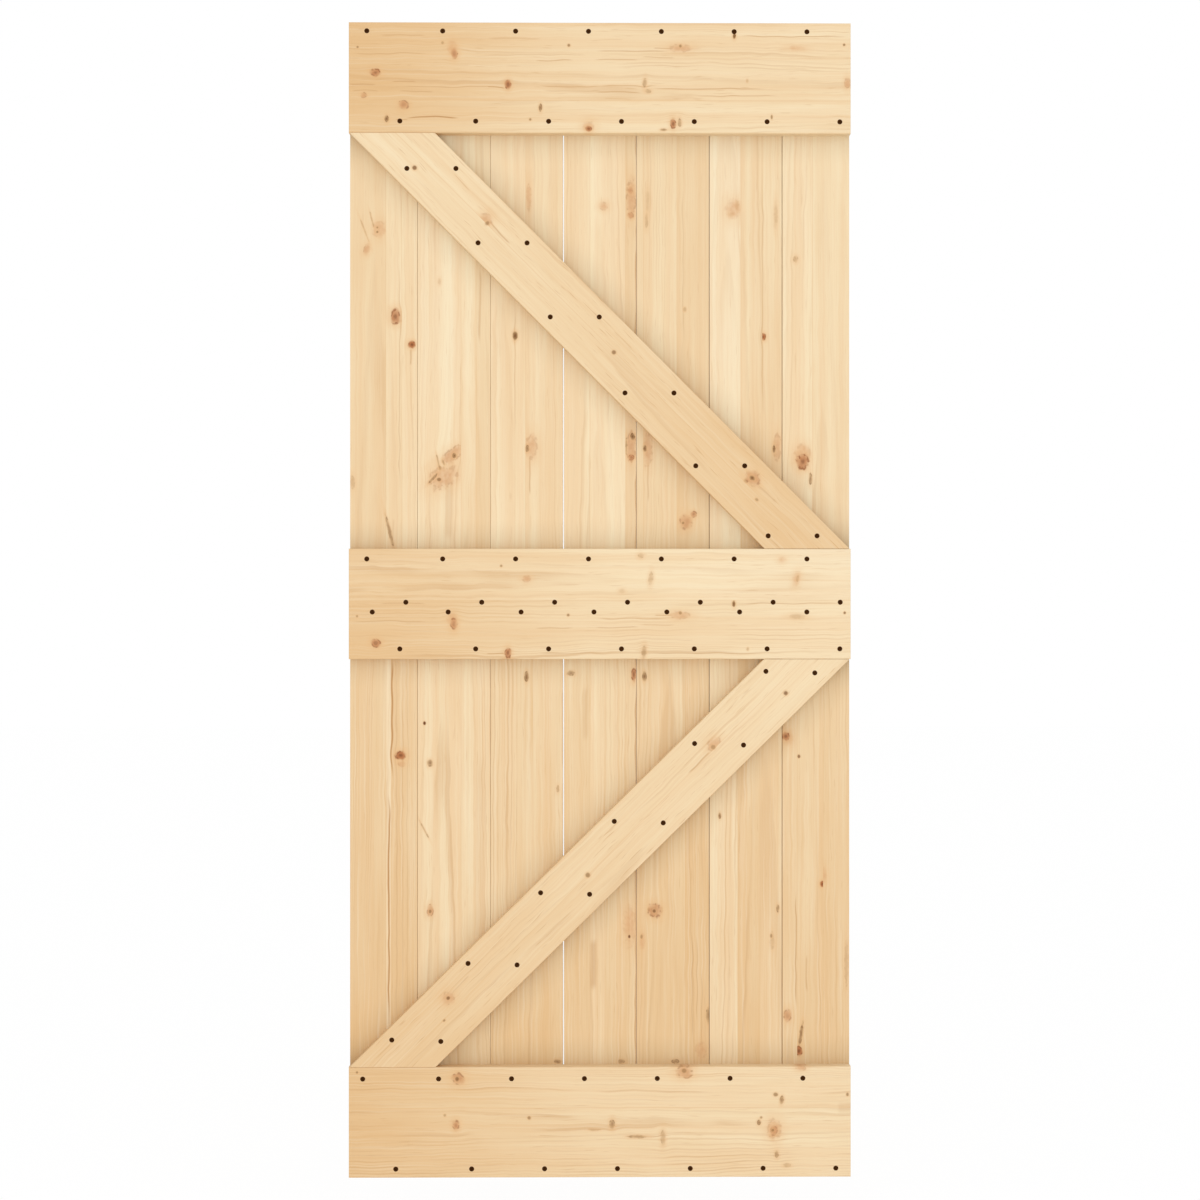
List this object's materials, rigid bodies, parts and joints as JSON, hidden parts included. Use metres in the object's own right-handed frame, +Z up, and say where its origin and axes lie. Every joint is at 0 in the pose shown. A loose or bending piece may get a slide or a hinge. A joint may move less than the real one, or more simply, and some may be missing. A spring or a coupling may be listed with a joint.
{
  "type": "sliding door leaf",
  "caption": "Barn-style sliding door leaf in knotty pine: vertical boards with three rails and two diagonal braces screwed to the front.",
  "frame": {"origin": "centre of the top rail's front face, where the hanger straps bolt on", "axes": "+X across the leaf to the viewer's right, +Y from the front face into the leaf, +Z up; the front faces -Y"},
  "size_m": [0.9, 0.036, 2.07],
  "materials": {
    "boards": "planed knotty pine, unfinished",
    "rails": "planed knotty pine, unfinished",
    "braces": "planed knotty pine, unfinished",
    "screws": "dark bronze-black coated screws"
  },
  "bodies": {
    "root": {"upper_board_1": "boards", "upper_board_2": "boards", "upper_board_3": "boards", "upper_board_4": "boards", "upper_board_5": "boards", "upper_board_6": "boards", "upper_board_7": "boards", "lower_board_1": "boards", "lower_board_2": "boards", "lower_board_3": "boards", "lower_board_4": "boards", "lower_board_5": "boards", "lower_board_6": "boards", "lower_board_7": "boards", "top_rail": "rails", "middle_rail": "rails", "bottom_rail": "rails", "upper_brace": "braces", "lower_brace": "braces"}
  },
  "joints": []
}
